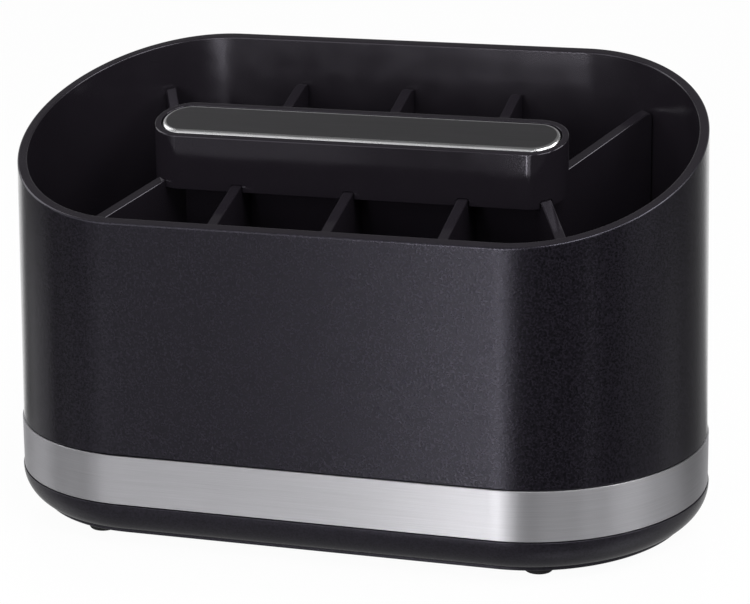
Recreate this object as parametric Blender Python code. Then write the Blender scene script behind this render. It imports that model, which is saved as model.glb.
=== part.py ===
"""Cutlery drainer: an oval shell with a slanted rim, a drip tray with a steel band, and a lift-out insert.

Metres, +Z up. The origin is on the worktop under the middle of the drainer, with its front at -Y.
"""

import math

import bmesh
import bpy
from mathutils import Vector

# Outline of the rim from above: straight sides with elliptical ends
RIM_LENGTH = 0.2200
RIM_WIDTH = 0.1189
END_REACH = 0.0503

# Rim and shell
RIM_HEIGHT = 0.1218
RIM_SLOPE = math.tan(math.radians(18.0))
SHELL_WALL = 0.0031
SHELL_FLARE = 0.0014
RIM_EDGE = 0.0006
RIM_INNER_EDGE = 0.0003
LEDGE_RISE = 0.0035
LEDGE_THICKNESS = 0.0018
LEDGE_LAP = 0.0030
LEDGE_GUSSET = 0.0026
SKIRT_THICKNESS = 0.0016
SKIRT_DEPTH = 0.0055

# Drip tray, from the worktop up
FOOT_HEIGHT = 0.0022
PLINTH_HEIGHT = 0.0013
PLINTH_INSET = 0.0007
PLINTH_EDGE = 0.0003
BASE_HEIGHT = 0.0110
BASE_PROUD = 0.0003
BASE_TUCK = 0.0058
BASE_SWEEP = math.radians(59.0)
TRAY_WALL = 0.0022
TRAY_FLOOR = 0.0027
BASIN_TUCK = 0.0060

# Steel band round the tray
BAND_HEIGHT = 0.0156
BAND_THICKNESS = 0.0006
BAND_PROUD = 0.0004

# Rubber feet
FOOT_RADIUS = 0.0046
FOOT_EDGE = 0.0010
FOOT_INSET = 0.0063
FOOT_ANGLE = math.radians(73.0)
SPIGOT_RADIUS = 0.0030
SPIGOT_HEIGHT = 0.0009

# Insert: a drain floor, a spine and dividers
FLOOR_THICKNESS = 0.0025
FLOOR_EDGE = 0.0004
SPINE_THICKNESS = 0.0034
DIVIDER_THICKNESS = 0.0034
DIVIDER_PITCH = 0.0370
DIVIDER_DROP = 0.0136
DIVIDER_CORNER = 0.0030
DIVIDER_EDGE = 0.0003
DIAGONAL_SETBACK = 0.0010
DIAGONAL_ANGLE = math.radians(25.6)
HOLE_RADIUS = 0.0028
HOLE_MARGIN = 0.0022
HOLES_PER_BAY = 2
HOLE_ROWS = 4

# Handle on the spine
HANDLE_RISE = 0.0014
HANDLE_WIDTH = 0.0212
HANDLE_OVERHANG = 0.0060
HANDLE_DEPTH = 0.0171
HANDLE_WALL = 0.0020
HANDLE_ROOF = 0.0024
HANDLE_EDGE = 0.0004
INLAY_MARGIN = 0.0024
INLAY_THICKNESS = 0.0016
INLAY_EDGE = 0.0004
RECESS_DEPTH = 0.0016
NOTCH_CORNER = 0.0003

# Clearances
SEAT_GAP = 0.0003
SKIRT_CLEARANCE = 0.0004
INSERT_CLEARANCE = 0.0004
GROOVE = 0.0004
CUT_OVERRUN = 0.0010

# Facets
END_STEPS = 16
PILL_STEPS = 14
EDGE_STEPS = 2
CURVE_STEPS = 6
FOOT_STEPS = 28
HOLE_STEPS = 10
CORNER_STEPS = 4
SMOOTH_ANGLE = math.radians(30.0)
BEVEL_ANGLE = math.radians(35.0)

# Heights of the seats, from the worktop up
PLINTH_TOP = FOOT_HEIGHT + PLINTH_HEIGHT
BASE_TOP = FOOT_HEIGHT + BASE_HEIGHT
BASIN_FLOOR = FOOT_HEIGHT + TRAY_FLOOR
BAND_FOOT = BASE_TOP + SEAT_GAP
TRAY_TOP = BAND_FOOT + BAND_HEIGHT
SHELL_FOOT = TRAY_TOP + SEAT_GAP
SKIRT_FOOT = SHELL_FOOT - SKIRT_DEPTH
LEDGE_TOP = SHELL_FOOT + LEDGE_RISE
LEDGE_BOTTOM = LEDGE_TOP - LEDGE_THICKNESS
FLOOR_BOTTOM = LEDGE_TOP + SEAT_GAP
FLOOR_TOP = FLOOR_BOTTOM + FLOOR_THICKNESS
DIVIDER_FOOT = FLOOR_TOP + SEAT_GAP

# Heights of the slanted planes at the middle of the drainer
DIVIDER_TOP = RIM_HEIGHT - DIVIDER_DROP
HANDLE_TOP = RIM_HEIGHT + HANDLE_RISE
HANDLE_FOOT = HANDLE_TOP - HANDLE_DEPTH
RECESS_FLOOR = HANDLE_TOP - RECESS_DEPTH
HANDLE_CEILING = RECESS_FLOOR - HANDLE_ROOF
SPINE_TOP = HANDLE_CEILING - SEAT_GAP
INLAY_FOOT = RECESS_FLOOR + SEAT_GAP
INLAY_TOP = INLAY_FOOT + INLAY_THICKNESS

# Distances outwards from the rim's outline
BAND_OUT = SHELL_FLARE + BAND_PROUD
TRAY_OUT = BAND_OUT - BAND_THICKNESS - SEAT_GAP
TRAY_IN = TRAY_OUT - TRAY_WALL
SKIRT_OUT = TRAY_IN - SKIRT_CLEARANCE
SKIRT_IN = SKIRT_OUT - SKIRT_THICKNESS
BASE_TOP_OUT = BAND_OUT + BASE_PROUD
BASE_FOOT_OUT = BASE_TOP_OUT - BASE_TUCK
PLINTH_OUT = BASE_FOOT_OUT - PLINTH_INSET
LEDGE_HEIGHT_SHARE = (LEDGE_TOP - SHELL_FOOT) / (RIM_HEIGHT - SHELL_FOOT)
SHELL_LOW_IN = SHELL_FLARE * (1 - LEDGE_HEIGHT_SHARE) - SHELL_WALL
INSERT_OUT = -(SHELL_WALL + INSERT_CLEARANCE)
LEDGE_IN = INSERT_OUT - LEDGE_LAP

# Spans in plan
STRAIGHT_HALF = RIM_LENGTH / 2 - END_REACH
DIVIDER_START = SPINE_THICKNESS / 2 + SEAT_GAP
DIAGONAL_ROOT = STRAIGHT_HALF - DIAGONAL_SETBACK
DIAGONAL_LEAN = math.tan(DIAGONAL_ANGLE)
DIAGONAL_HALF = DIVIDER_THICKNESS / 2 / math.cos(DIAGONAL_ANGLE)
SPINE_HALF = DIAGONAL_ROOT + DIAGONAL_LEAN * DIVIDER_START + DIAGONAL_HALF
HANDLE_HALF = SPINE_HALF + HANDLE_OVERHANG
HANDLE_RADIUS = HANDLE_WIDTH / 2
HANDLE_STRAIGHT = HANDLE_HALF - HANDLE_RADIUS
INLAY_RADIUS = HANDLE_RADIUS - INLAY_MARGIN

BLACK = (0.012, 0.012, 0.014)
RUBBER_BLACK = (0.008, 0.008, 0.009)
STEEL = (0.56, 0.56, 0.57)
DARK_STEEL = (0.20, 0.20, 0.21)
SATIN_ROUGHNESS = 0.45
GLOSS_ROUGHNESS = 0.15
RUBBER_ROUGHNESS = 0.8
BRUSHED_ROUGHNESS = 0.35


def clear_scene():
    for old in list(bpy.data.objects):
        bpy.data.objects.remove(old)


def material(name, colour, roughness, metallic=0.0):
    made = bpy.data.materials.new(name)
    made.use_nodes = True
    shader = made.node_tree.nodes["Principled BSDF"]
    shader.inputs["Base Color"].default_value = (*colour, 1.0)
    shader.inputs["Roughness"].default_value = roughness
    shader.inputs["Metallic"].default_value = metallic
    return made


def empty(name, height, parent=None):
    """A frame on the vertical axis, at the seat of the body that it carries."""
    frame = bpy.data.objects.new(name, None)
    frame.location.z = height - (parent.location.z if parent else 0)
    frame.parent = parent
    bpy.context.collection.objects.link(frame)
    return frame


def height_of(frame):
    """Height of a frame over the worktop, through its parents."""
    return frame.location.z + (height_of(frame.parent) if frame.parent else 0)


def mesh_object(name, mesh, look, frame, place=(0, 0, 0)):
    """An object for the mesh. The place is over the worktop, and the frame is the object's parent."""
    if not mesh.materials:
        mesh.materials.append(look)
    made = bpy.data.objects.new(name, mesh)
    made.parent = frame
    made.location = Vector(place) - Vector((0, 0, height_of(frame)))
    bpy.context.collection.objects.link(made)
    return made


def finish_mesh(name, shape):
    shape.normal_update()
    bmesh.ops.recalc_face_normals(shape, faces=shape.faces)
    mesh = bpy.data.meshes.new(name)
    shape.to_mesh(mesh)
    shape.free()
    mesh.shade_smooth()
    mesh.set_sharp_from_angle(angle=SMOOTH_ANGLE)
    return mesh


def bridge(shape, first, second):
    count = len(first)
    for step in range(count):
        after = (step + 1) % count
        shape.faces.new((first[step], first[after], second[after], second[step]))


def add_loft(shape, loops, closed_ring=False):
    """A solid through the loops: a ring where the last meets the first, or else capped at both ends."""
    rows = [[shape.verts.new(point) for point in loop] for loop in loops]
    for lower, upper in zip(rows, rows[1:]):
        bridge(shape, lower, upper)
    if closed_ring:
        bridge(shape, rows[-1], rows[0])
    else:
        shape.faces.new(rows[0])
        shape.faces.new(rows[-1])


def lofted(name, loops, closed_ring=False):
    shape = bmesh.new()
    add_loft(shape, loops, closed_ring)
    return finish_mesh(name, shape)


def end_point(angle, out):
    """A point on the right end of the rim's outline, moved outwards."""
    normal = Vector((math.cos(angle) / END_REACH, math.sin(angle) / (RIM_WIDTH / 2))).normalized()
    on_end = Vector((STRAIGHT_HALF + END_REACH * math.cos(angle), RIM_WIDTH / 2 * math.sin(angle)))
    return on_end + normal * out


def oval(out):
    """Points of the rim's outline moved outwards, anticlockwise from the middle of the right end."""
    quarter = [end_point(math.pi / 2 * step / END_STEPS, out) for step in range(END_STEPS + 1)]
    half = quarter + [Vector((-point.x, point.y)) for point in reversed(quarter)]
    return half + [Vector((point.x, -point.y)) for point in reversed(half[1:-1])]


def pill(straight, radius):
    """Points of a straight-sided shape with round ends, anticlockwise."""
    points = []
    for centre, start in ((straight, -math.pi / 2), (-straight, math.pi / 2)):
        for step in range(PILL_STEPS + 1):
            angle = start + math.pi * step / PILL_STEPS
            points.append(Vector((centre + radius * math.cos(angle), radius * math.sin(angle))))
    return points


def circle(radius, steps):
    angles = [2 * math.pi * step / steps for step in range(steps)]
    return [Vector((radius * math.cos(angle), radius * math.sin(angle))) for angle in angles]


def level(points, height):
    return [(point.x, point.y, height) for point in points]


def slanted(points, height):
    """The points on a plane parallel to the rim's, whose height is that at the middle."""
    return [(point.x, point.y, height + RIM_SLOPE * point.y) for point in points]


def rounding(radius, steps=EDGE_STEPS):
    """Pairs of (inwards, down) along a quarter round, from the side of an edge to its top."""
    angles = [math.pi / 2 * step / steps for step in range(steps + 1)]
    return [(radius * (1 - math.cos(angle)), radius * (1 - math.sin(angle))) for angle in angles]


def outer_shell(look, frame):
    """The sleeve: a flared wall under a slanted rim, with a ledge for the insert and a skirt in the tray."""
    loops = [level(oval(SHELL_FLARE), SHELL_FOOT)]
    loops += [slanted(oval(-inwards), RIM_HEIGHT - down) for inwards, down in rounding(RIM_EDGE)]
    loops += [
        slanted(oval(RIM_INNER_EDGE - SHELL_WALL), RIM_HEIGHT),
        slanted(oval(-SHELL_WALL), RIM_HEIGHT - RIM_INNER_EDGE),
        level(oval(SHELL_LOW_IN), LEDGE_TOP),
        level(oval(LEDGE_IN), LEDGE_TOP),
        level(oval(LEDGE_IN), LEDGE_BOTTOM),
        level(oval(SKIRT_IN), LEDGE_BOTTOM - LEDGE_GUSSET),
        level(oval(SKIRT_IN), SKIRT_FOOT),
        level(oval(SKIRT_OUT), SKIRT_FOOT),
        level(oval(SKIRT_OUT), SHELL_FOOT),
    ]
    mesh_object("outer_shell", lofted("outer_shell", loops, closed_ring=True), look, frame)


def foot_places():
    """Centres of the feet, each set in from the plinth's edge."""
    x, y = end_point(FOOT_ANGLE, PLINTH_OUT - FOOT_INSET)
    return {
        "front_left": (-x, -y),
        "front_right": (x, -y),
        "rear_left": (-x, y),
        "rear_right": (x, y),
    }


def cut_with(target, name, shape):
    """Takes a closed mesh away from the target. The cutter stays in the file as a hidden wire guide."""
    cutter = mesh_object(name, finish_mesh(name, shape), None, target.parent)
    cutter.hide_render = True
    cutter.display_type = "WIRE"
    modifier = target.modifiers.new(name, "BOOLEAN")
    modifier.operation = "DIFFERENCE"
    modifier.solver = "EXACT"
    modifier.object = cutter


def shifted(points, x, y):
    return [Vector((point.x + x, point.y + y)) for point in points]


def drip_tray(look, frame):
    """The base: a basin behind the band, over a rounded skirt that tucks in to a low plinth."""
    loops = []
    for step in range(CURVE_STEPS + 1):
        angle = math.pi / 2 * (1 - step / CURVE_STEPS)
        out = TRAY_IN - BASIN_TUCK * (1 - math.cos(angle))
        loops.append(level(oval(out), BASE_TOP - (BASE_TOP - BASIN_FLOOR) * math.sin(angle)))
    loops += [
        level(oval(TRAY_IN), TRAY_TOP),
        level(oval(TRAY_OUT), TRAY_TOP),
        level(oval(TRAY_OUT), BASE_TOP),
    ]
    for step in range(CURVE_STEPS + 1):
        angle = BASE_SWEEP * step / CURVE_STEPS
        out = BASE_TOP_OUT - BASE_TUCK * (1 - math.cos(angle)) / (1 - math.cos(BASE_SWEEP))
        fall = (BASE_TOP - PLINTH_TOP) * math.sin(angle) / math.sin(BASE_SWEEP)
        loops.append(level(oval(out), BASE_TOP - fall))
    loops += [
        level(oval(PLINTH_OUT), PLINTH_TOP),
        level(oval(PLINTH_OUT), FOOT_HEIGHT + PLINTH_EDGE),
        level(oval(PLINTH_OUT - PLINTH_EDGE), FOOT_HEIGHT),
    ]
    tray = mesh_object("drip_tray", lofted("drip_tray", loops), look, frame)
    pockets = bmesh.new()
    ring = circle(SPIGOT_RADIUS + SEAT_GAP, FOOT_STEPS)
    for x, y in foot_places().values():
        around = shifted(ring, x, y)
        roof = FOOT_HEIGHT + SPIGOT_HEIGHT + SEAT_GAP
        add_loft(pockets, [level(around, FOOT_HEIGHT - CUT_OVERRUN), level(around, roof)])
    cut_with(tray, "foot_pocket_cutter", pockets)


def steel_band(look, frame):
    loops = [
        level(oval(BAND_OUT), BAND_FOOT),
        level(oval(BAND_OUT), TRAY_TOP),
        level(oval(BAND_OUT - BAND_THICKNESS), TRAY_TOP),
        level(oval(BAND_OUT - BAND_THICKNESS), BAND_FOOT),
    ]
    mesh_object("steel_band", lofted("steel_band", loops, closed_ring=True), look, frame)


def feet(look, frame):
    """Four rubber pads, each with a spigot in the tray. They share one mesh."""
    loops = [level(circle(FOOT_RADIUS - inwards, FOOT_STEPS), down) for inwards, down in reversed(rounding(FOOT_EDGE))]
    loops += [
        level(circle(FOOT_RADIUS, FOOT_STEPS), FOOT_HEIGHT - SEAT_GAP),
        level(circle(SPIGOT_RADIUS, FOOT_STEPS), FOOT_HEIGHT - SEAT_GAP),
        level(circle(SPIGOT_RADIUS, FOOT_STEPS), FOOT_HEIGHT + SPIGOT_HEIGHT),
    ]
    mesh = lofted("foot", loops)
    for corner, (x, y) in foot_places().items():
        mesh_object("foot_" + corner, mesh, look, frame, (x, y, 0))


def end_reach_at(lean, root):
    """How far from the middle a line across the insert meets the insert's outline. The line is x = root + lean * y."""
    reach = END_REACH + INSERT_OUT
    half = RIM_WIDTH / 2 + INSERT_OUT
    past = root - STRAIGHT_HALF
    if past + lean * half <= 0:
        return half
    square = (lean / reach) ** 2 + 1 / half**2
    linear = past * lean / reach**2
    constant = (past / reach) ** 2 - 1
    return (math.sqrt(linear**2 - square * constant) - linear) / square


def on_floor(x, y, margin):
    """Whether a place lies on the insert's floor, at least the margin in from its edge."""
    reach = END_REACH + INSERT_OUT - margin
    half = RIM_WIDTH / 2 + INSERT_OUT - margin
    past = max(abs(x) - STRAIGHT_HALF, 0)
    return (past / reach) ** 2 + (y / half) ** 2 < 1


def hole_places():
    """Rows of drain holes between the dividers, the same on both sides of the spine and of the middle."""
    column_step = DIVIDER_PITCH / HOLES_PER_BAY
    row_step = (RIM_WIDTH / 2 + INSERT_OUT - SPINE_THICKNESS / 2) / HOLE_ROWS
    to_divider = HOLE_RADIUS + DIVIDER_THICKNESS / 2 + HOLE_MARGIN
    places = []
    for column in range(math.ceil(RIM_LENGTH / 2 / column_step)):
        x = column_step * (column + 0.5)
        for row in range(HOLE_ROWS):
            y = SPINE_THICKNESS / 2 + row_step * (row + 0.5)
            from_diagonal = abs(x - DIAGONAL_ROOT - DIAGONAL_LEAN * y) * math.cos(DIAGONAL_ANGLE)
            if from_diagonal > to_divider and on_floor(x, y, HOLE_RADIUS + HOLE_MARGIN):
                places += [(x, y), (-x, y), (x, -y), (-x, -y)]
    return places


def drain_floor(look, frame):
    outer = oval(INSERT_OUT)
    inner = oval(INSERT_OUT - FLOOR_EDGE)
    loops = [
        level(inner, FLOOR_BOTTOM),
        level(outer, FLOOR_BOTTOM + FLOOR_EDGE),
        level(outer, FLOOR_TOP - FLOOR_EDGE),
        level(inner, FLOOR_TOP),
    ]
    plate = mesh_object("drain_floor", lofted("drain_floor", loops), look, frame)
    holes = bmesh.new()
    ring = circle(HOLE_RADIUS, HOLE_STEPS)
    for x, y in hole_places():
        around = shifted(ring, x, y)
        add_loft(holes, [level(around, FLOOR_BOTTOM - CUT_OVERRUN), level(around, FLOOR_TOP + CUT_OVERRUN)])
    cut_with(plate, "drain_hole_cutter", holes)


def soft_edges(target):
    bevel = target.modifiers.new("soft_edges", "BEVEL")
    bevel.width = DIVIDER_EDGE
    bevel.segments = 1
    bevel.limit_method = "ANGLE"
    bevel.angle_limit = BEVEL_ANGLE


def spine(look, frame):
    """The wall along the middle. Its top is in the handle."""
    side = SPINE_THICKNESS / 2
    rise = RIM_SLOPE * side
    section = [(-side, DIVIDER_FOOT), (side, DIVIDER_FOOT), (side, SPINE_TOP + rise), (-side, SPINE_TOP - rise)]
    loops = [[(x, y, z) for y, z in section] for x in (-SPINE_HALF, SPINE_HALF)]
    soft_edges(mesh_object("spine", lofted("spine", loops), look, frame))


def divider_mesh(name, root, lean, depth_sign):
    """A wall from the spine to the shell, leaning outwards in plan, its top parallel to the rim."""
    along = math.hypot(1, lean)
    half = DIVIDER_THICKNESS / 2 * along
    loops = []
    for shift in (-half, half):
        end = end_reach_at(lean, root + shift)
        profile = [(DIVIDER_START, 0), (end, 0)]
        for inwards, down in rounding(DIVIDER_CORNER, CORNER_STEPS):
            across = end - inwards / along
            profile.append((across, DIVIDER_TOP + RIM_SLOPE * depth_sign * across - down - DIVIDER_FOOT))
        profile.append((DIVIDER_START, DIVIDER_TOP + RIM_SLOPE * depth_sign * DIVIDER_START - DIVIDER_FOOT))
        loops.append([(lean * across + shift, depth_sign * across, height) for across, height in profile])
    return lofted(name, loops)


def mirrored(mesh, name):
    """The same mesh for the other end of the drainer."""
    shape = bmesh.new()
    shape.from_mesh(mesh)
    for vertex in shape.verts:
        vertex.co.x = -vertex.co.x
    return finish_mesh(name, shape)


def dividers(look, frame):
    for side, depth_sign in (("front", -1), ("rear", 1)):
        straight = divider_mesh("divider_" + side, 0, 0, depth_sign)
        for place, x in (("left", -DIVIDER_PITCH), ("middle", 0), ("right", DIVIDER_PITCH)):
            soft_edges(mesh_object(f"divider_{side}_{place}", straight, look, frame, (x, 0, DIVIDER_FOOT)))
        diagonal = divider_mesh("diagonal_" + side, DIAGONAL_ROOT, DIAGONAL_LEAN, depth_sign)
        turned = mirrored(diagonal, "diagonal_left_" + side)
        for place, mesh, x in (("right", diagonal, DIAGONAL_ROOT), ("left", turned, -DIAGONAL_ROOT)):
            soft_edges(mesh_object(f"diagonal_{side}_{place}", mesh, look, frame, (x, 0, DIVIDER_FOOT)))


def notch_section(root, lean, across, depth_sign):
    """Outline of a notch over a divider, in the plane at this distance from the spine."""
    widen = math.hypot(1, lean)
    half = (DIVIDER_THICKNESS / 2 + SEAT_GAP) * widen
    corner = NOTCH_CORNER * widen
    middle = root + lean * across
    y = depth_sign * across
    top = DIVIDER_TOP + SEAT_GAP + RIM_SLOPE * y
    low = min(HANDLE_FOOT, DIVIDER_TOP) + RIM_SLOPE * y - CUT_OVERRUN
    half_section = [(half, low), (half, top - NOTCH_CORNER), (half - corner, top)]
    return [(middle + x, y, z) for x, z in half_section] + [(middle - x, y, z) for x, z in reversed(half_section)]


def handle(look, frame):
    """The cap over the spine: hollow below, notched over the dividers, with a recess on top for the inlay."""
    inner = pill(HANDLE_STRAIGHT, HANDLE_RADIUS - HANDLE_WALL)
    outer = pill(HANDLE_STRAIGHT, HANDLE_RADIUS)
    recess = pill(HANDLE_STRAIGHT, INLAY_RADIUS + GROOVE)
    loops = [slanted(inner, HANDLE_CEILING), slanted(inner, HANDLE_FOOT), slanted(outer, HANDLE_FOOT)]
    for inwards, down in rounding(HANDLE_EDGE):
        loops.append(slanted(pill(HANDLE_STRAIGHT, HANDLE_RADIUS - inwards), HANDLE_TOP - down))
    loops += [slanted(recess, HANDLE_TOP), slanted(recess, RECESS_FLOOR)]
    cap = mesh_object("handle_cap", lofted("handle_cap", loops), look, frame)
    notches = bmesh.new()
    reach = HANDLE_RADIUS + CUT_OVERRUN
    lines = [(-DIVIDER_PITCH, 0), (0, 0), (DIVIDER_PITCH, 0)]
    lines += [(-DIAGONAL_ROOT, -DIAGONAL_LEAN), (DIAGONAL_ROOT, DIAGONAL_LEAN)]
    for depth_sign in (-1, 1):
        for root, lean in lines:
            spans = (DIVIDER_START, reach)
            add_loft(notches, [notch_section(root, lean, across, depth_sign) for across in spans])
    cut_with(cap, "notch_cutter", notches)


def handle_inlay(look, frame):
    """The steel plate in the handle's recess, with a polished edge."""
    edge = pill(HANDLE_STRAIGHT, INLAY_RADIUS)
    face = pill(HANDLE_STRAIGHT, INLAY_RADIUS - INLAY_EDGE)
    loops = [slanted(edge, INLAY_FOOT), slanted(edge, INLAY_TOP - INLAY_EDGE), slanted(face, INLAY_TOP)]
    mesh_object("handle_inlay", lofted("handle_inlay", loops), look, frame)


def build():
    clear_scene()
    satin = material("satin_black", BLACK, SATIN_ROUGHNESS)
    gloss = material("gloss_black", BLACK, GLOSS_ROUGHNESS)
    rubber = material("rubber", RUBBER_BLACK, RUBBER_ROUGHNESS)
    steel = material("brushed_steel", STEEL, BRUSHED_ROUGHNESS, metallic=1.0)
    dark_steel = material("dark_brushed_steel", DARK_STEEL, BRUSHED_ROUGHNESS, metallic=1.0)
    tray_frame = empty("tray_frame", 0)
    shell_slide = empty("shell_slide", SHELL_FOOT, tray_frame)
    insert_slide = empty("insert_slide", FLOOR_BOTTOM, shell_slide)
    drip_tray(satin, tray_frame)
    steel_band(steel, tray_frame)
    feet(rubber, tray_frame)
    outer_shell(satin, shell_slide)
    drain_floor(gloss, insert_slide)
    spine(gloss, insert_slide)
    dividers(gloss, insert_slide)
    handle(gloss, insert_slide)
    handle_inlay(dark_steel, insert_slide)


build()
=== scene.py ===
"""Looks of the cutlery drainer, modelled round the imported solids. Metres, +Z up, front at -Y."""

import math

import bmesh
import bpy
from mathutils import Euler, Matrix, Vector


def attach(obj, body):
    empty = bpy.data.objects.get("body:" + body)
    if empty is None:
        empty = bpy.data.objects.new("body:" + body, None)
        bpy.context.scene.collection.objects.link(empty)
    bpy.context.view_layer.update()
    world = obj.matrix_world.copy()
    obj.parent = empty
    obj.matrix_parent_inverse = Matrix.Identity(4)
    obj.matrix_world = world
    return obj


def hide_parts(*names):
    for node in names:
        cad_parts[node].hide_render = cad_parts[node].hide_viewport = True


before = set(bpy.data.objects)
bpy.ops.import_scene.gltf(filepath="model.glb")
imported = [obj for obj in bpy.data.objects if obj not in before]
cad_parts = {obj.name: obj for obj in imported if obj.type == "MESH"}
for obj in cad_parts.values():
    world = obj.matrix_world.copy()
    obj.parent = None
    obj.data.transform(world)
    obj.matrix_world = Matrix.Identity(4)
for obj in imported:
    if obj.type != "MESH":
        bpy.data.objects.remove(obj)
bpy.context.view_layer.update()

# Outline of the rim from above: straight sides with elliptical ends
RIM_LENGTH = 0.2200
RIM_WIDTH = 0.1189
END_REACH = 0.0503
STRAIGHT_HALF = RIM_LENGTH / 2 - END_REACH
HALF_WIDTH = RIM_WIDTH / 2

# Rim and shell
RIM_HEIGHT = 0.1218
RIM_SLOPE = math.tan(math.radians(18.0))
SHELL_WALL = 0.0031
SHELL_FLARE = 0.0014
RIM_EDGE = 0.0006
RIM_INNER_EDGE = 0.0005
SHELL_FOOT_EDGE = 0.0003
LEDGE_RISE = 0.0035
LEDGE_THICKNESS = 0.0018
LEDGE_LAP = 0.0030
LEDGE_GUSSET = 0.0026
SKIRT_THICKNESS = 0.0016
SKIRT_DEPTH = 0.0055

# Drip tray, from the worktop up
FOOT_HEIGHT = 0.0022
PLINTH_HEIGHT = 0.0013
PLINTH_INSET = 0.0007
PLINTH_EDGE = 0.0003
BASE_HEIGHT = 0.0110
BASE_PROUD = 0.0003
BASE_TUCK = 0.0058
BASE_SWEEP = math.radians(59.0)
BASE_EDGE = 0.0002
TRAY_WALL = 0.0022
TRAY_FLOOR = 0.0027
BASIN_TUCK = 0.0060

# Steel band round the tray
BAND_HEIGHT = 0.0156
BAND_THICKNESS = 0.0006
BAND_PROUD = 0.0004
BAND_EDGE = 0.00008

# Rubber feet
FOOT_RADIUS = 0.0046
FOOT_EDGE = 0.0014
FOOT_INSET = 0.0063
FOOT_ANGLE = math.radians(73.0)

# Insert
FLOOR_THICKNESS = 0.0025
FLOOR_EDGE = 0.0004
WALL_THICKNESS = 0.0034
DIVIDER_PITCH = 0.0370
DIVIDER_DROP = 0.0136
DIVIDER_CORNER = 0.0030
DIVIDER_EDGE = 0.00035
DIAGONAL_SETBACK = 0.0010
DIAGONAL_ANGLE = math.radians(25.6)
HOLE_RADIUS = 0.0028
HOLE_EDGE = 0.0004
HOLE_MARGIN = 0.0022
HOLES_PER_BAY = 2
HOLE_ROWS = 4
MOULDED_LAP = 0.0005

# Handle
HANDLE_RISE = 0.0014
HANDLE_WIDTH = 0.0212
HANDLE_OVERHANG = 0.0060
HANDLE_DEPTH = 0.0171
HANDLE_WALL = 0.0020
HANDLE_ROOF = 0.0024
HANDLE_EDGE = 0.0004
HANDLE_RECESS_EDGE = 0.0002
INLAY_MARGIN = 0.0024
INLAY_THICKNESS = 0.0016
INLAY_EDGE = 0.0013
RECESS_DEPTH = 0.0016
NOTCH_CORNER = 0.0008
NOTCH_EDGE = 0.0002

# Clearances
SEAT_GAP = 0.0003
SKIRT_CLEARANCE = 0.0004
INSERT_CLEARANCE = 0.0004
GROOVE = 0.0004
CUT_OVERRUN = 0.0010

# Seats and slanted planes, as on the solids
PLINTH_TOP = FOOT_HEIGHT + PLINTH_HEIGHT
BASE_TOP = FOOT_HEIGHT + BASE_HEIGHT
BASIN_FLOOR = FOOT_HEIGHT + TRAY_FLOOR
BAND_FOOT = BASE_TOP + SEAT_GAP
TRAY_TOP = BAND_FOOT + BAND_HEIGHT
SHELL_FOOT = TRAY_TOP + SEAT_GAP
SKIRT_FOOT = SHELL_FOOT - SKIRT_DEPTH
LEDGE_TOP = SHELL_FOOT + LEDGE_RISE
LEDGE_BOTTOM = LEDGE_TOP - LEDGE_THICKNESS
FLOOR_BOTTOM = LEDGE_TOP + SEAT_GAP
FLOOR_TOP = FLOOR_BOTTOM + FLOOR_THICKNESS
DIVIDER_TOP = RIM_HEIGHT - DIVIDER_DROP
HANDLE_TOP = RIM_HEIGHT + HANDLE_RISE
HANDLE_FOOT = HANDLE_TOP - HANDLE_DEPTH
RECESS_FLOOR = HANDLE_TOP - RECESS_DEPTH
HANDLE_CEILING = RECESS_FLOOR - HANDLE_ROOF
SPINE_TOP = HANDLE_CEILING - SEAT_GAP
INLAY_FOOT = RECESS_FLOOR + SEAT_GAP
INLAY_TOP = INLAY_FOOT + INLAY_THICKNESS

# Distances outwards from the rim's outline, as on the solids
BAND_OUT = SHELL_FLARE + BAND_PROUD
TRAY_OUT = BAND_OUT - BAND_THICKNESS - SEAT_GAP
TRAY_IN = TRAY_OUT - TRAY_WALL
SKIRT_OUT = TRAY_IN - SKIRT_CLEARANCE
SKIRT_IN = SKIRT_OUT - SKIRT_THICKNESS
BASE_TOP_OUT = BAND_OUT + BASE_PROUD
BASE_FOOT_OUT = BASE_TOP_OUT - BASE_TUCK
PLINTH_OUT = BASE_FOOT_OUT - PLINTH_INSET
LEDGE_HEIGHT_SHARE = (LEDGE_TOP - SHELL_FOOT) / (RIM_HEIGHT - SHELL_FOOT)
SHELL_LOW_IN = SHELL_FLARE * (1 - LEDGE_HEIGHT_SHARE) - SHELL_WALL
INSERT_OUT = -(SHELL_WALL + INSERT_CLEARANCE)
LEDGE_IN = INSERT_OUT - LEDGE_LAP

# Spans in plan
DIVIDER_START = WALL_THICKNESS / 2 - MOULDED_LAP
DIVIDER_FOOT = FLOOR_TOP - MOULDED_LAP
DIAGONAL_ROOT = STRAIGHT_HALF - DIAGONAL_SETBACK
DIAGONAL_LEAN = math.tan(DIAGONAL_ANGLE)
DIAGONAL_HALF = WALL_THICKNESS / 2 / math.cos(DIAGONAL_ANGLE)
SPINE_HALF = DIAGONAL_ROOT + DIAGONAL_LEAN * (WALL_THICKNESS / 2 + SEAT_GAP) + DIAGONAL_HALF
HANDLE_RADIUS = HANDLE_WIDTH / 2
HANDLE_STRAIGHT = SPINE_HALF + HANDLE_OVERHANG - HANDLE_RADIUS
INLAY_RADIUS = HANDLE_RADIUS - INLAY_MARGIN

# Fineness of the meshes
END_STEPS = 60
PILL_STEPS = 64
EDGE_STEPS = 6
CURVE_STEPS = 16
WALL_ROWS = 8
FOOT_STEPS = 64
HOLE_STEPS = 32
TANGENT_GUARD = 0.0015
SMOOTH_ANGLE = math.radians(32.0)

# The photograph's camera
CAMERA_PLACE = Vector((0.26236, -0.81170, 0.29478))
CAMERA_AZIMUTH = math.radians(17.59)
CAMERA_ELEVATION = math.radians(14.972)
CAMERA_ROLL = math.radians(-0.57)
CAMERA_LENS = 133.16
SENSOR_WIDTH = 36.0

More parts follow.
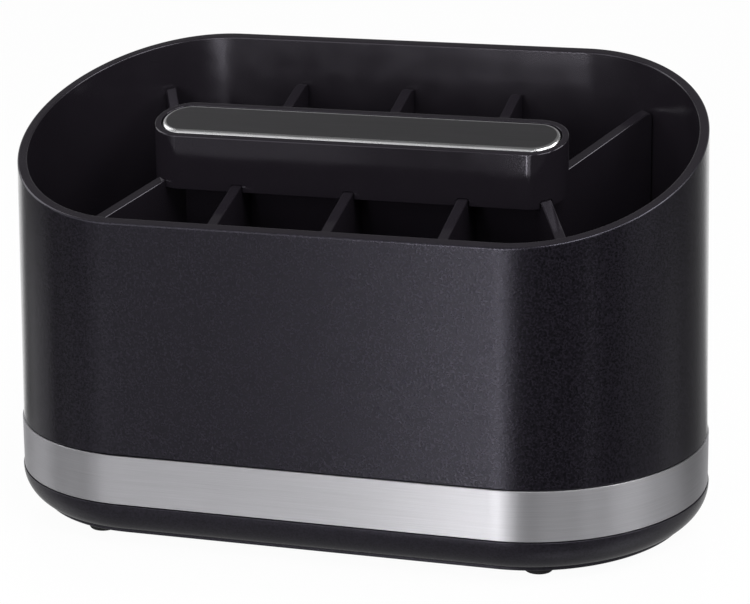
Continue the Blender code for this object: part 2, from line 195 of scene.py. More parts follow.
# What mirrors see of the studio: a white backdrop that fades out sideways and upwards, and the rest dim
BACKDROP_SIDE_COSINES = (0.72, 0.86)
BACKDROP_TOP_SINES = (0.2, 0.6)
STUDIO_STRENGTH = 0.15

# The floor: mirrors see a white fan to the back from a point in front, and a faint glow round the object
FLOOR_RADIUS = 6.0
FLOOR_STEPS = 128
FLOOR_GREY = 0.08
FLOOR_SEEN = 0.96
FLOOR_FAN_SHIFT = (-0.0453, 0.143, 0)
FLOOR_FAN_COSINES = (0.83, 0.885)
FLOOR_BACK_COSINES = (0.0, 0.3)
FLOOR_GLOW = 0.3
FLOOR_GLOW_REACH = (1.15, 1.9)

# How far most lamps stand from the object's axis
LAMP_DISTANCE = 0.9

# Grain of the satin plastic: pebbles and specks per metre, and its base colours: painted shade in the pits
# and a painted highlight on the tips
GRAIN_PEBBLES = 1400.0
GRAIN_SPECKS = 1900.0
GRAIN_PEBBLE_SHARE = 0.6
GRAIN_DEPTH = 0.0001
GRAIN_PAINTED_LIGHT_SPAN = (0.55, 0.9)
GRAIN_GLOSS_SPAN = (0.5, 0.9)
GRAIN_PIT_PAINTED_SHADE = (0.0002, 0.0001, 0.0004, 1.0)
GRAIN_TIP_PAINTED_HIGHLIGHT = (0.0118, 0.0099, 0.0147, 1.0)
GRAZING_SPAN = (0.6, 0.95)
GRAZING_ROUGHNESS_SHARE = 0.35

# Brushed steel: how much darker and lighter its streaks are than its colour
STREAK_SPAN = (0.25, 0.75)
STREAK_DARK_SHARE = 0.86
STREAK_LIGHT_SHARE = 1.12

# The middle of a noise texture's values, where nearly all of them lie
NOISE_SPAN = (0.3, 0.7)

# Places of the colour sockets on a Mix node
MIX_FIRST = 6
MIX_SECOND = 7
MIX_RESULT = 2


def finish_mesh(name, shape):
    shape.normal_update()
    bmesh.ops.recalc_face_normals(shape, faces=shape.faces)
    mesh = bpy.data.meshes.new(name)
    shape.to_mesh(mesh)
    shape.free()
    mesh.shade_smooth()
    mesh.set_sharp_from_angle(angle=SMOOTH_ANGLE)
    return mesh


def bridge(shape, first, second, finish=0):
    count = len(first)
    for step in range(count):
        after = (step + 1) % count
        face = shape.faces.new((first[step], first[after], second[after], second[step]))
        face.material_index = finish


def add_loft(shape, loops, closed_ring=False, finishes=None):
    """A solid through the loops: a ring where the last meets the first, or else capped at both ends."""
    rows = [[shape.verts.new(point) for point in loop] for loop in loops]
    finishes = finishes or [0] * len(rows)
    for lower, upper, finish in zip(rows, rows[1:], finishes):
        bridge(shape, lower, upper, finish)
    if closed_ring:
        bridge(shape, rows[-1], rows[0], finishes[-1])
    else:
        shape.faces.new(rows[0])
        shape.faces.new(rows[-1])


def lofted(name, loops, closed_ring=False, finishes=None):
    shape = bmesh.new()
    add_loft(shape, loops, closed_ring, finishes)
    return finish_mesh(name, shape)


def lay_flat(mesh):
    """A plan view UV map, so that brushing runs along the length."""
    layout = mesh.uv_layers.new(name="along")
    for loop in mesh.loops:
        point = mesh.vertices[loop.vertex_index].co
        layout.uv[loop.index].vector = (point.x / RIM_LENGTH, point.y / RIM_LENGTH)


def flat_faces_stay_flat(piece):
    """Weighs normals by face area, so that a rounded edge doesn't bend the shading of the wall beside it."""
    weighted = piece.modifiers.new("weighted_normals", "WEIGHTED_NORMAL")
    weighted.keep_sharp = True
    weighted.weight = 100


def add_piece(name, mesh, looks, body, slot, *nodes):
    """A visible piece for the mesh, in place of the solids that it stands for."""
    for look in looks:
        mesh.materials.append(look)
    piece = bpy.data.objects.new(name, mesh)
    bpy.context.scene.collection.objects.link(piece)
    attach(piece, body)
    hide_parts(*nodes)
    return piece


def end_point(angle, out):
    """A point on the right end of the rim's outline, moved outwards."""
    normal = Vector((math.cos(angle) / END_REACH, math.sin(angle) / HALF_WIDTH)).normalized()
    on_end = Vector((STRAIGHT_HALF + END_REACH * math.cos(angle), HALF_WIDTH * math.sin(angle)))
    return on_end + normal * out


def oval(out):
    """The rim's outline moved outwards, anticlockwise. Guard points keep its sides' shading straight."""
    quarter = [end_point(math.pi / 2 * step / END_STEPS, out) for step in range(END_STEPS + 1)]
    quarter.append(Vector((STRAIGHT_HALF - TANGENT_GUARD, HALF_WIDTH + out)))
    half = quarter + [Vector((-point.x, point.y)) for point in reversed(quarter)]
    return half + [Vector((point.x, -point.y)) for point in reversed(half[1:-1])]


def pill(straight, radius):
    """Points of a straight-sided shape with round ends, anticlockwise."""
    points = []
    for centre, start in ((straight, -math.pi / 2), (-straight, math.pi / 2)):
        side = math.copysign(1, centre)
        points.append(Vector((centre - side * TANGENT_GUARD, -side * radius)))
        for step in range(PILL_STEPS + 1):
            angle = start + math.pi * step / PILL_STEPS
            points.append(Vector((centre + radius * math.cos(angle), radius * math.sin(angle))))
        points.append(Vector((centre - side * TANGENT_GUARD, side * radius)))
    return points


def circle(radius, steps):
    angles = [2 * math.pi * step / steps for step in range(steps)]
    return [Vector((radius * math.cos(angle), radius * math.sin(angle))) for angle in angles]


def shifted(points, x, y):
    return [Vector((point.x + x, point.y + y)) for point in points]


def level(points, height):
    return [(point.x, point.y, height) for point in points]


def slanted(points, height):
    """The points on a plane parallel to the rim's, whose height is that at the middle."""
    return [(point.x, point.y, height + RIM_SLOPE * point.y) for point in points]


def rounding(radius, steps=EDGE_STEPS):
    """Pairs of (inwards, down) along a quarter round, from the side of an edge to its top."""
    angles = [math.pi / 2 * step / steps for step in range(steps + 1)]
    return [(radius * (1 - math.cos(angle)), radius * (1 - math.sin(angle))) for angle in angles]


def lower_edge(out, height, radius, steps=EDGE_STEPS):
    """Loops that round an oval's bottom edge, from its underside to its side."""
    return [level(oval(out - inwards), height + up) for inwards, up in reversed(rounding(radius, steps))]


def upper_edge(out, height, radius, steps=EDGE_STEPS):
    """Loops that round an oval's top edge, from its side to its top."""
    return [level(oval(out - inwards), height - down) for inwards, down in rounding(radius, steps)]


def between(low, high, share):
    """Points part of the way from one loop to the next, for an even mesh on a tall wall."""
    return [tuple(Vector(a).lerp(Vector(b), share)) for a, b in zip(low, high)]


def rows_between(low, high):
    return [between(low, high, row / WALL_ROWS) for row in range(1, WALL_ROWS)]


def outer_shell(satin, smooth):
    """The sleeve: grained outside, smooth and glossy on the rim and inside."""
    foot = lower_edge(SHELL_FLARE, SHELL_FOOT, SHELL_FOOT_EDGE)
    rim = [slanted(oval(-inwards), RIM_HEIGHT - down) for inwards, down in rounding(RIM_EDGE)]
    inner = [
        slanted(oval(inwards - SHELL_WALL), RIM_HEIGHT - down)
        for inwards, down in reversed(rounding(RIM_INNER_EDGE))
    ]
    low = level(oval(SHELL_LOW_IN), LEDGE_TOP)
    outside = foot + rows_between(foot[-1], rim[0]) + rim
    inside = inner + rows_between(inner[-1], low) + [
        low,
        level(oval(LEDGE_IN), LEDGE_TOP),
        level(oval(LEDGE_IN), LEDGE_BOTTOM),
        level(oval(SKIRT_IN), LEDGE_BOTTOM - LEDGE_GUSSET),
        level(oval(SKIRT_IN), SKIRT_FOOT),
        level(oval(SKIRT_OUT), SKIRT_FOOT),
        level(oval(SKIRT_OUT), SHELL_FOOT),
    ]
    smooth_rim = EDGE_STEPS // 2
    finishes = [0] * (len(outside) - smooth_rim) + [1] * (len(inside) + smooth_rim)
    mesh = lofted("shell_sleeve", outside + inside, True, finishes)
    sleeve = add_piece("shell_sleeve", mesh, [satin, smooth], "shell", "satin_black", "outer_shell")
    flat_faces_stay_flat(sleeve)


def foot_places():
    x, y = end_point(FOOT_ANGLE, PLINTH_OUT - FOOT_INSET)
    return {
        "front_left": (-x, -y),
        "front_right": (x, -y),
        "rear_left": (-x, y),
        "rear_right": (x, y),
    }


def drip_tray(look):
    """The base: a basin behind the band, over a rounded skirt that tucks in to a low plinth."""
    loops = []
    for step in range(CURVE_STEPS + 1):
        angle = math.pi / 2 * (1 - step / CURVE_STEPS)
        out = TRAY_IN - BASIN_TUCK * (1 - math.cos(angle))
        loops.append(level(oval(out), BASE_TOP - (BASE_TOP - BASIN_FLOOR) * math.sin(angle)))
    loops += [
        level(oval(TRAY_IN), TRAY_TOP),
        level(oval(TRAY_OUT), TRAY_TOP),
        level(oval(TRAY_OUT), BASE_TOP),
    ]
    loops += reversed(upper_edge(BASE_TOP_OUT, BASE_TOP, BASE_EDGE))
    for step in range(1, CURVE_STEPS + 1):
        angle = BASE_SWEEP * step / CURVE_STEPS
        out = BASE_TOP_OUT - BASE_TUCK * (1 - math.cos(angle)) / (1 - math.cos(BASE_SWEEP))
        fall = BASE_EDGE + (BASE_TOP - PLINTH_TOP - BASE_EDGE) * math.sin(angle) / math.sin(BASE_SWEEP)
        loops.append(level(oval(out), BASE_TOP - fall))
    loops += [
        level(oval(PLINTH_OUT), PLINTH_TOP),
        level(oval(PLINTH_OUT), FOOT_HEIGHT + PLINTH_EDGE),
        level(oval(PLINTH_OUT - PLINTH_EDGE), FOOT_HEIGHT),
    ]
    mesh = lofted("tray_base", loops)
    flat_faces_stay_flat(add_piece("tray_base", mesh, [look], "tray", "satin_black", "drip_tray"))


def steel_band(look):
    """The band with its sheared edges eased."""
    loops = lower_edge(BAND_OUT, BAND_FOOT, BAND_EDGE, EDGE_STEPS // 2)
    loops += upper_edge(BAND_OUT, TRAY_TOP, BAND_EDGE, EDGE_STEPS // 2)
    loops += [level(oval(BAND_OUT - BAND_THICKNESS), height) for height in (TRAY_TOP, BAND_FOOT)]
    mesh = lofted("band_strip", loops, True)
    flat_faces_stay_flat(add_piece("band_strip", mesh, [look], "tray", "brushed_steel", "steel_band"))


def feet(look):
    """Four rubber pads with round undersides. They share one outline."""
    profile = [(FOOT_RADIUS - inwards, up) for inwards, up in reversed(rounding(FOOT_EDGE))]
    profile.append((FOOT_RADIUS, FOOT_HEIGHT - SEAT_GAP))
    for corner, (x, y) in foot_places().items():
        loops = [level(shifted(circle(radius, FOOT_STEPS), x, y), height) for radius, height in profile]
        mesh = lofted("pad_" + corner, loops)
        flat_faces_stay_flat(add_piece("pad_" + corner, mesh, [look], "tray", "rubber", "foot_" + corner))


def end_reach_at(lean, root):
    """How far from the middle the line x = root + lean * y meets the insert's outline."""
    reach = END_REACH + INSERT_OUT
    half = HALF_WIDTH + INSERT_OUT
    past = root - STRAIGHT_HALF
    if past + lean * half <= 0:
        return half
    square = (lean / reach) ** 2 + 1 / half**2
    linear = past * lean / reach**2
    constant = (past / reach) ** 2 - 1
    return (math.sqrt(linear**2 - square * constant) - linear) / square


def on_floor(x, y, margin):
    """Whether a place lies on the insert's floor, at least the margin in from its edge."""
    reach = END_REACH + INSERT_OUT - margin
    half = HALF_WIDTH + INSERT_OUT - margin
    past = max(abs(x) - STRAIGHT_HALF, 0)
    return (past / reach) ** 2 + (y / half) ** 2 < 1


def hole_places():
    """Rows of drain holes between the dividers, the same on both sides of the spine and of the middle."""
    column_step = DIVIDER_PITCH / HOLES_PER_BAY
    row_step = (HALF_WIDTH + INSERT_OUT - WALL_THICKNESS / 2) / HOLE_ROWS
    to_divider = HOLE_RADIUS + WALL_THICKNESS / 2 + HOLE_MARGIN
    places = []
    for column in range(math.ceil(RIM_LENGTH / 2 / column_step)):
        x = column_step * (column + 0.5)
        for row in range(HOLE_ROWS):
            y = WALL_THICKNESS / 2 + row_step * (row + 0.5)
            from_diagonal = abs(x - DIAGONAL_ROOT - DIAGONAL_LEAN * y) * math.cos(DIAGONAL_ANGLE)
            if from_diagonal > to_divider and on_floor(x, y, HOLE_RADIUS + HOLE_MARGIN):
                places += [(x, y), (-x, y), (x, -y), (-x, -y)]
    return places


def cut_with(piece, name, shape):
    """Takes a closed mesh away from the piece for good."""
    cutter = bpy.data.objects.new(name, finish_mesh(name, shape))
    bpy.context.scene.collection.objects.link(cutter)
    cut = piece.modifiers.new(name, "BOOLEAN")
    cut.operation = "DIFFERENCE"
    cut.solver = "EXACT"
    cut.object = cutter
    graph = bpy.context.evaluated_depsgraph_get()
    mesh = bpy.data.meshes.new_from_object(piece.evaluated_get(graph))
    piece.modifiers.remove(cut)
    piece.data = mesh
    bpy.data.objects.remove(cutter)
    mesh.set_sharp_from_angle(angle=SMOOTH_ANGLE)


def drain_floor(look):
    """The insert's floor, with drain holes that are eased at both faces."""
    loops = lower_edge(INSERT_OUT, FLOOR_BOTTOM, FLOOR_EDGE) + upper_edge(INSERT_OUT, FLOOR_TOP, FLOOR_EDGE)
    mesh = lofted("floor_plate", loops)
    plate = add_piece("floor_plate", mesh, [look], "insert", "gloss_black", "drain_floor")
    holes = bmesh.new()
    profile = [
        (HOLE_RADIUS + HOLE_EDGE + CUT_OVERRUN, FLOOR_BOTTOM - CUT_OVERRUN),
        (HOLE_RADIUS, FLOOR_BOTTOM + HOLE_EDGE),
        (HOLE_RADIUS, FLOOR_TOP - HOLE_EDGE),
        (HOLE_RADIUS + HOLE_EDGE + CUT_OVERRUN, FLOOR_TOP + CUT_OVERRUN),
    ]
    for x, y in hole_places():
        loops = [level(shifted(circle(radius, HOLE_STEPS), x, y), height) for radius, height in profile]
        add_loft(holes, loops)
    cut_with(plate, "drain_holes", holes)
    flat_faces_stay_flat(plate)


def soft_edges(piece, width=DIVIDER_EDGE):
    bevel = piece.modifiers.new("soft_edges", "BEVEL")
    bevel.width = width
    bevel.segments = 3
    bevel.limit_method = "ANGLE"
    bevel.angle_limit = SMOOTH_ANGLE
    flat_faces_stay_flat(piece)


def spine(look):
    """The wall along the middle. Its top is in the handle."""
    side = WALL_THICKNESS / 2
    rise = RIM_SLOPE * side
    section = [
        (-side, DIVIDER_FOOT),
        (side, DIVIDER_FOOT),
        (side, SPINE_TOP + rise),
        (-side, SPINE_TOP - rise),
    ]
    mesh = lofted("spine_wall", [[(x, y, z) for y, z in section] for x in (-SPINE_HALF, SPINE_HALF)])
    soft_edges(add_piece("spine_wall", mesh, [look], "insert", "gloss_black", "spine"))


def divider_mesh(name, root, lean, side, hand):
    """A wall from the spine to the shell, as slanted as the rim. Side -1 is the front, hand -1 the left."""
    along = math.hypot(1, lean)
    half = WALL_THICKNESS / 2 * along
    loops = []
    for shift in (-half, half):
        end = end_reach_at(lean, root + shift)
        profile = [(DIVIDER_START, DIVIDER_FOOT), (end, DIVIDER_FOOT)]
        for inwards, down in rounding(DIVIDER_CORNER):
            across = end - inwards / along
            profile.append((across, DIVIDER_TOP + RIM_SLOPE * side * across - down))
        profile.append((DIVIDER_START, DIVIDER_TOP + RIM_SLOPE * side * DIVIDER_START))
        loops.append([
            (hand * (root + lean * across + shift), side * across, height)
            for across, height in profile
        ])
    return lofted(name, loops)


def dividers(look):
    walls = [
        ("divider", "left", DIVIDER_PITCH, 0, -1),
        ("divider", "middle", 0, 0, 1),
        ("divider", "right", DIVIDER_PITCH, 0, 1),
        ("diagonal", "left", DIAGONAL_ROOT, DIAGONAL_LEAN, -1),
        ("diagonal", "right", DIAGONAL_ROOT, DIAGONAL_LEAN, 1),
    ]
    for depth, side in (("front", -1), ("rear", 1)):
        for kind, place, root, lean, hand in walls:
            name = f"{kind}_{depth}_{place}"
            mesh = divider_mesh("wall_" + name, root, lean, side, hand)
            soft_edges(add_piece("wall_" + name, mesh, [look], "insert", "gloss_black", name))


def notch_section(root, lean, across, side):
    """Outline of a notch over a divider, at this distance from the spine, with round top corners."""
    widen = math.hypot(1, lean)
    half = (WALL_THICKNESS / 2 + SEAT_GAP) * widen
    middle = root + lean * across
    y = side * across
    top = DIVIDER_TOP + SEAT_GAP + RIM_SLOPE * y
    low = min(HANDLE_FOOT, DIVIDER_TOP) + RIM_SLOPE * y - CUT_OVERRUN
    right = [(half, low)]
    right += [(half - inwards * widen, top - down) for inwards, down in rounding(NOTCH_CORNER)]
    return [(middle + x, y, z) for x, z in right] + [(middle - x, y, z) for x, z in reversed(right)]


def handle(look):
    """The cap over the spine: hollow below, notched over the dividers, with a recess on top for the inlay."""
    inner = pill(HANDLE_STRAIGHT, HANDLE_RADIUS - HANDLE_WALL)
    outer = pill(HANDLE_STRAIGHT, HANDLE_RADIUS)
    loops = [slanted(inner, HANDLE_CEILING), slanted(inner, HANDLE_FOOT), slanted(outer, HANDLE_FOOT)]
    for inwards, down in rounding(HANDLE_EDGE):
        loops.append(slanted(pill(HANDLE_STRAIGHT, HANDLE_RADIUS - inwards), HANDLE_TOP - down))
    for inwards, down in reversed(rounding(HANDLE_RECESS_EDGE)):
        loops.append(slanted(pill(HANDLE_STRAIGHT, INLAY_RADIUS + GROOVE + inwards), HANDLE_TOP - down))
    loops.append(slanted(pill(HANDLE_STRAIGHT, INLAY_RADIUS + GROOVE), RECESS_FLOOR))
    mesh = lofted("handle_grip", loops)
    cap = add_piece("handle_grip", mesh, [look], "insert", "gloss_black", "handle_cap")
    notches = bmesh.new()
    spans = (WALL_THICKNESS / 2 + SEAT_GAP, HANDLE_RADIUS + CUT_OVERRUN)
    lines = [(-DIVIDER_PITCH, 0), (0, 0), (DIVIDER_PITCH, 0)]
    lines += [(-DIAGONAL_ROOT, -DIAGONAL_LEAN), (DIAGONAL_ROOT, DIAGONAL_LEAN)]
    for side in (-1, 1):
        for root, lean in lines:
            add_loft(notches, [notch_section(root, lean, across, side) for across in spans])
    cut_with(cap, "notches", notches)
    soft_edges(cap, NOTCH_EDGE)


def handle_inlay(look, polished):
    """The steel plate in the handle's recess: brushed on top, polished round its edge."""
    loops = [slanted(pill(HANDLE_STRAIGHT, INLAY_RADIUS), INLAY_FOOT)]
    for inwards, down in rounding(INLAY_EDGE):
        loops.append(slanted(pill(HANDLE_STRAIGHT, INLAY_RADIUS - inwards), INLAY_TOP - down))
    mesh = lofted("inlay_plate", loops, finishes=[1] * len(loops))
    lay_flat(mesh)
    plate = add_piece("inlay_plate", mesh, [look, polished], "insert", "dark_brushed_steel", "handle_inlay")
    flat_faces_stay_flat(plate)


def shader_of(name, colour, roughness, metallic=0.0):
    """A new material, its node tree and its shader. A texture linked later replaces the plain value."""
    made = bpy.data.materials.new(name)
    made.use_nodes = True
    shader = made.node_tree.nodes["Principled BSDF"]
    shader.inputs["Base Color"].default_value = (*colour, 1.0)
    shader.inputs["Roughness"].default_value = roughness
    shader.inputs["Metallic"].default_value = metallic
    return made, made.node_tree, shader


def add_node(tree, kind, settings=(), **links):
    """A node whose sockets are set by name, with underscores for spaces, to values or to other outputs."""
    node = tree.nodes.new(kind)
    for key, value in dict(settings).items():
        setattr(node, key, value)
    for key, value in links.items():
        socket = node.inputs[key.replace("_", " ")]
        if isinstance(value, bpy.types.NodeSocket):
            tree.links.new(value, socket)
        else:
            socket.default_value = value
    return node


def object_place(tree, scale=(1, 1, 1), shift=(0, 0, 0)):
    """Object coordinates, stretched by the scale on each axis and then moved."""
    coordinates = add_node(tree, "ShaderNodeTexCoord")
    place = coordinates.outputs["Object"]
    mapping = add_node(tree, "ShaderNodeMapping", Vector=place, Location=shift, Scale=scale)
    return mapping.outputs["Vector"]


def ranged(tree, value, low, high, new_low, new_high):
    """The value with its range stretched to a new one, and cut off at both ends of that."""
    node = add_node(tree, "ShaderNodeMapRange")
    tree.links.new(value, node.inputs["Value"])
    for key, number in (("From Min", low), ("From Max", high), ("To Min", new_low), ("To Max", new_high)):
        node.inputs[key].default_value = number
    return node.outputs["Result"]


def combined(tree, operation, first, second):
    """The result of a calculation with two outputs, or with an output and a number."""
    node = add_node(tree, "ShaderNodeMath", {"operation": operation})
    tree.links.new(first, node.inputs[0])
    if isinstance(second, bpy.types.NodeSocket):
        tree.links.new(second, node.inputs[1])
    else:
        node.inputs[1].default_value = second
    return node.outputs[0]


def blended(tree, share, first, second):
    """The first colour turning into the second as the share goes from zero to one."""
    shade = add_node(tree, "ShaderNodeMix", {"data_type": "RGBA"}, Factor=share)
    shade.inputs[MIX_FIRST].default_value = first
    shade.inputs[MIX_SECOND].default_value = second
    return shade.outputs[MIX_RESULT]


def satin_plastic(name, grain, low, high):
    """Black plastic from a spark-eroded mould: a fine pebble grain, with painted shade in the pits and a
    painted highlight on the tips.
    """
    made, tree, shader = shader_of(name, (0.0045, 0.0036, 0.0058), low)
    shader.inputs["Specular Tint"].default_value = (0.86, 0.83, 1.0, 1.0)
    shader.inputs["Specular IOR Level"].default_value = 0.46
    place = object_place(tree)
    cells = {"feature": "SMOOTH_F1"}
    pebble = add_node(tree, "ShaderNodeTexVoronoi", cells, Vector=place, Scale=GRAIN_PEBBLES)
    fine = add_node(tree, "ShaderNodeTexNoise", Vector=place, Scale=GRAIN_SPECKS, Detail=1.0)
    pebbles = combined(tree, "MULTIPLY", pebble.outputs["Distance"], GRAIN_PEBBLE_SHARE)
    height = combined(tree, "ADD", pebbles, fine.outputs["Fac"])
    bump = add_node(tree, "ShaderNodeBump", Height=height, Strength=grain, Distance=GRAIN_DEPTH)
    tree.links.new(bump.outputs["Normal"], shader.inputs["Normal"])
    # The base colour follows the grain's height: painted shade in its pits and a painted highlight on its
    # tips
    shade = blended(tree, ranged(tree, height, *GRAIN_PAINTED_LIGHT_SPAN, 0.0, 1.0), GRAIN_PIT_PAINTED_SHADE, GRAIN_TIP_PAINTED_HIGHLIGHT)
    tree.links.new(shade, shader.inputs["Base Color"])
    grazing = add_node(tree, "ShaderNodeLayerWeight", Blend=0.5).outputs["Facing"]
    smoother = ranged(tree, grazing, *GRAZING_SPAN, 1.0, GRAZING_ROUGHNESS_SHARE)
    rough = combined(tree, "MULTIPLY", ranged(tree, height, *GRAIN_GLOSS_SPAN, high, low), smoother)
    tree.links.new(rough, shader.inputs["Roughness"])
    return made


def gloss_plastic(name, low, high):
    """Black plastic from a polished mould, with the faint waviness of a large moulding."""
    made, tree, shader = shader_of(name, (0.0125, 0.0105, 0.0140), low)
    shader.inputs["Specular Tint"].default_value = (0.92, 0.88, 1.0, 1.0)
    place = object_place(tree)
    waves = add_node(tree, "ShaderNodeTexNoise", Vector=place, Scale=38.0, Detail=1.0)
    bump = add_node(tree, "ShaderNodeBump", Height=waves.outputs["Fac"], Strength=0.12, Distance=0.0006)
    tree.links.new(bump.outputs["Normal"], shader.inputs["Normal"])
    smears = add_node(tree, "ShaderNodeTexNoise", Vector=place, Scale=120.0, Detail=4.0)
    tree.links.new(ranged(tree, smears.outputs["Fac"], *NOISE_SPAN, low, high), shader.inputs["Roughness"])
    return made


def brushed_steel(name, colour, streaks_per_metre, roughness_range, anisotropy, tangent):
    """Steel brushed along one direction: streaks that are long one way and fine across it."""
    made, tree, shader = shader_of(name, colour, roughness_range[0], 1.0)
    place = object_place(tree, streaks_per_metre)
    streaks = add_node(tree, "ShaderNodeTexNoise", Vector=place, Scale=1.0, Detail=4.0, Roughness=0.65)
    bump = add_node(tree, "ShaderNodeBump", Height=streaks.outputs["Fac"], Strength=0.25, Distance=0.00004)
    tree.links.new(bump.outputs["Normal"], shader.inputs["Normal"])
    rough = ranged(tree, streaks.outputs["Fac"], *NOISE_SPAN, *roughness_range)
    tree.links.new(rough, shader.inputs["Roughness"])
    dark = (*(STREAK_DARK_SHARE * part for part in colour), 1.0)
    light = (*(STREAK_LIGHT_SHARE * part for part in colour), 1.0)
    shade = blended(tree, ranged(tree, streaks.outputs["Fac"], *STREAK_SPAN, 0.0, 1.0), dark, light)
    tree.links.new(shade, shader.inputs["Base Color"])
    shader.inputs["Anisotropic"].default_value = anisotropy
    shader.inputs["Anisotropic Rotation"].default_value = 0.25
    grain = add_node(tree, "ShaderNodeTangent", tangent)
    tree.links.new(grain.outputs["Tangent"], shader.inputs["Tangent"])
    return made


def polished_steel(name, low, high):
    """Steel polished round an edge, dulled unevenly by wear."""
    made, tree, shader = shader_of(name, (0.62, 0.62, 0.63), low, 1.0)
    wear = add_node(tree, "ShaderNodeTexNoise", Vector=object_place(tree), Scale=90.0, Detail=2.0)
    tree.links.new(ranged(tree, wear.outputs["Fac"], *NOISE_SPAN, low, high), shader.inputs["Roughness"])
    return made


def soft_rubber(name, roughness):
    """Dull rubber with a fine grain."""
    made, tree, shader = shader_of(name, (0.008, 0.008, 0.009), roughness)
    grain = add_node(tree, "ShaderNodeTexNoise", Vector=object_place(tree), Scale=2500.0, Detail=2.0)
    bump = add_node(tree, "ShaderNodeBump", Height=grain.outputs["Fac"], Strength=0.2, Distance=0.00005)
    tree.links.new(bump.outputs["Normal"], shader.inputs["Normal"])
    return made


def seen_in_mirrors(tree, path):
    """One for rays that come from a gloss or pass through something clear, and zero for others."""
    return combined(tree, "MAXIMUM", path.outputs["Is Glossy Ray"], path.outputs["Is Transmission Ray"])


def behind_the_object(tree, place, cosines):
    """One for what is behind the object, seen from the camera. It fades between two cosines of the angle."""
    flat = add_node(tree, "ShaderNodeVectorMath", {"operation": "MULTIPLY"})
    tree.links.new(place, flat.inputs[0])
    flat.inputs[1].default_value = (1, 1, 0)
    ahead = add_node(tree, "ShaderNodeVectorMath", {"operation": "NORMALIZE"})
    tree.links.new(flat.outputs["Vector"], ahead.inputs[0])
    along = add_node(tree, "ShaderNodeVectorMath", {"operation": "DOT_PRODUCT"})
    tree.links.new(ahead.outputs["Vector"], along.inputs[0])
    along.inputs[1].default_value = (-math.sin(CAMERA_AZIMUTH), math.cos(CAMERA_AZIMUTH), 0)
    return ranged(tree, along.outputs["Value"], *cosines, 0.0, 1.0)


def add_floor():
    """A white floor with the object's shadow. Mirrors see a white fan behind the object, and a faint glow."""
    shape = bmesh.new()
    bmesh.ops.create_circle(shape, cap_ends=True, segments=FLOOR_STEPS, radius=FLOOR_RADIUS)
    floor = bpy.data.objects.new("studio_floor", finish_mesh("studio_floor", shape))
    bpy.context.scene.collection.objects.link(floor)
    made, tree, shader = shader_of("studio_floor", (FLOOR_GREY, FLOOR_GREY, FLOOR_GREY), 0.2)
    shader.inputs["IOR"].default_value = 2.0
    glow = add_node(tree, "ShaderNodeEmission", Color=(1.0, 1.0, 1.0, 1.0), Strength=1.0)
    path = add_node(tree, "ShaderNodeLightPath")
    tint = ranged(tree, path.outputs["Is Camera Ray"], 0.0, 1.0, FLOOR_GREY, 1.0)
    tree.links.new(tint, shader.inputs["Base Color"])
    back = behind_the_object(tree, object_place(tree), FLOOR_BACK_COSINES)
    fan = behind_the_object(tree, object_place(tree, shift=FLOOR_FAN_SHIFT), FLOOR_FAN_COSINES)
    near = add_node(tree, "ShaderNodeVectorMath", {"operation": "LENGTH"})
    tree.links.new(object_place(tree, (2 / RIM_LENGTH, 2 / RIM_WIDTH, 0)), near.inputs[0])
    round_the_object = ranged(tree, near.outputs["Value"], *FLOOR_GLOW_REACH, FLOOR_GLOW, 0.0)
    pale = combined(tree, "MAXIMUM", combined(tree, "MINIMUM", back, fan), round_the_object)
    mirrored = combined(tree, "MULTIPLY", seen_in_mirrors(tree, path), pale)
    direct = combined(tree, "MULTIPLY", path.outputs["Is Camera Ray"], FLOOR_SEEN)
    mix = add_node(tree, "ShaderNodeMixShader", Fac=combined(tree, "MAXIMUM", direct, mirrored))
    tree.links.new(shader.outputs["BSDF"], mix.inputs[1])
    tree.links.new(glow.outputs["Emission"], mix.inputs[2])
    tree.links.new(mix.outputs["Shader"], tree.nodes["Material Output"].inputs["Surface"])
    floor.data.materials.append(made)


def add_world():
    """A dim studio all round. The camera sees it white, and so do mirrors low behind the object."""
    world = bpy.data.worlds.new("studio")
    bpy.context.scene.world = world
    world.use_nodes = True
    tree = world.node_tree
    back = tree.nodes["Background"]
    back.inputs["Color"].default_value = (1.0, 1.0, 1.0, 1.0)
    direction = add_node(tree, "ShaderNodeTexCoord").outputs["Generated"]
    height = add_node(tree, "ShaderNodeSeparateXYZ", Vector=direction).outputs["Z"]
    path = add_node(tree, "ShaderNodeLightPath")
    low = ranged(tree, height, *BACKDROP_TOP_SINES, 1.0, 0.0)
    backdrop = combined(tree, "MULTIPLY", behind_the_object(tree, direction, BACKDROP_SIDE_COSINES), low)
    mirrored = combined(tree, "MULTIPLY", seen_in_mirrors(tree, path), backdrop)
    white = combined(tree, "MAXIMUM", path.outputs["Is Camera Ray"], mirrored)
    tree.links.new(ranged(tree, white, 0.0, 1.0, STUDIO_STRENGTH, 1.0), back.inputs["Strength"])


def around(azimuth, height, distance=LAMP_DISTANCE):
    """A place at this azimuth from the front, in degrees, positive to the right."""
    turn = math.radians(azimuth)
    return (distance * math.sin(turn), -distance * math.cos(turn), height)


def add_softbox(name, place, aim, width, height, power):
    """A rectangular lamp that faces the aim. The camera doesn't see it."""
    lamp = bpy.data.lights.new(name, "AREA")
    lamp.shape = "RECTANGLE"
    lamp.size = width
    lamp.size_y = height
    lamp.energy = power
    box = bpy.data.objects.new(name, lamp)
    box.location = place
    box.rotation_euler = (Vector(place) - Vector(aim)).to_track_quat("Z", "Y").to_euler()
    box.visible_camera = False
    bpy.context.scene.collection.objects.link(box)


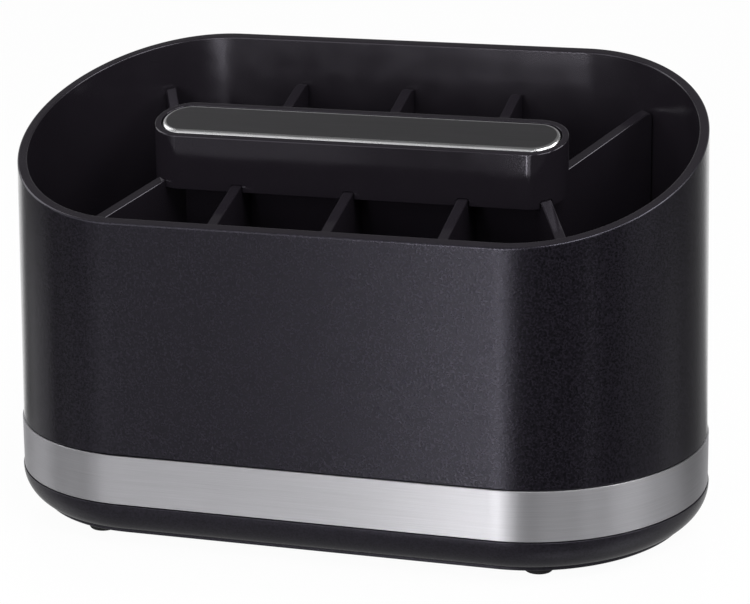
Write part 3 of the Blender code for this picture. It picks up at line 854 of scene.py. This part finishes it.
def add_lights():
    """Narrow strips in front for the wall's highlight, and larger boxes round the sides and above.

    Each row holds a lamp's name, place, width, height and power. All lamps face the object's middle.
    """
    middle = (0, 0, RIM_HEIGHT / 2)
    boxes = [
        ("front_strip", around(2, 0.45), 0.06, 0.85, 1.0),
        ("low_front_strip", around(-3, 0.2), 0.06, 0.35, 0.4),
        ("low_left_strip", around(-7.5, 0.22), 0.04, 0.34, 1.65),
        ("front_left_box", around(-26, 0.42), 0.3, 0.75, 0.92),
        ("left_box", around(-38, 0.42), 0.25, 0.75, 0.75),
        ("far_left_box", around(-60, 0.4), 0.5, 0.6, 0.7),
        ("rear_left_box", around(-100, 0.4), 0.5, 0.6, 1.2),
        ("top_left_box", (-0.8, 0.1, 0.8), 0.5, 0.5, 1.5),
        ("top_front_box", (-0.35, -0.5, 1.0), 0.6, 0.4, 0.5),
        ("top_right_box", (0.45, -0.4, 1.0), 0.5, 0.4, 4.7),
        ("high_right_box", (0.8, 0.1, 0.8), 0.5, 0.5, 4.9),
        ("right_strip", around(60, 0.4), 0.05, 0.7, 0.28),
        ("right_box", around(95, 0.12), 0.4, 0.24, 0.14),
        ("right_rear_box", around(118, 0.4), 0.3, 0.6, 0.45),
        ("rear_box", around(150, 0.35, 1.0), 0.5, 0.6, 0.15),
    ]
    for name, place, width, height, power in boxes:
        add_softbox(name, place, middle, width, height, power)


def add_camera():
    """The photograph's camera: a long lens from the front right, a little above the rim."""
    data = bpy.data.cameras.new("photo_camera")
    data.lens = CAMERA_LENS
    data.sensor_width = SENSOR_WIDTH
    camera = bpy.data.objects.new("photo_camera", data)
    aim = Euler((math.pi / 2 - CAMERA_ELEVATION, 0, CAMERA_AZIMUTH)).to_matrix()
    turn = aim @ Matrix.Rotation(CAMERA_ROLL, 3, "Z")
    camera.matrix_world = Matrix.Translation(CAMERA_PLACE) @ turn.to_4x4()
    bpy.context.scene.collection.objects.link(camera)
    bpy.context.scene.camera = camera


def steel_of_the_band():
    return brushed_steel(
        "brushed_steel",
        colour=(0.51, 0.505, 0.53),
        streaks_per_metre=(45, 45, 7000),
        roughness_range=(0.44, 0.52),
        anisotropy=0.9,
        tangent={"direction_type": "RADIAL", "axis": "Z"},
    )


def steel_of_the_inlay():
    return brushed_steel(
        "dark_brushed_steel",
        colour=(0.172, 0.169, 0.178),
        streaks_per_metre=(45, 6000, 6000),
        roughness_range=(0.28, 0.36),
        anisotropy=0.4,
        tangent={"direction_type": "UV_MAP", "uv_map": "along"},
    )


def build():
    satin = satin_plastic("satin_black", grain=0.35, low=0.23, high=0.27)
    smooth_satin = satin_plastic("fine_satin_black", grain=0.08, low=0.34, high=0.38)
    gloss = gloss_plastic("gloss_black", low=0.08, high=0.12)
    smooth = gloss_plastic("smooth_black", low=0.2, high=0.27)
    steel = steel_of_the_band()
    dark_steel = steel_of_the_inlay()
    polished = polished_steel("polished_steel", low=0.24, high=0.3)
    rubber = soft_rubber("rubber", roughness=0.75)
    outer_shell(satin, smooth)
    drip_tray(smooth_satin)
    steel_band(steel)
    feet(rubber)
    drain_floor(gloss)
    spine(gloss)
    dividers(gloss)
    handle(gloss)
    handle_inlay(dark_steel, polished)
    add_floor()
    add_world()
    add_lights()
    add_camera()
    bpy.context.scene.view_settings.view_transform = "Standard"


build()
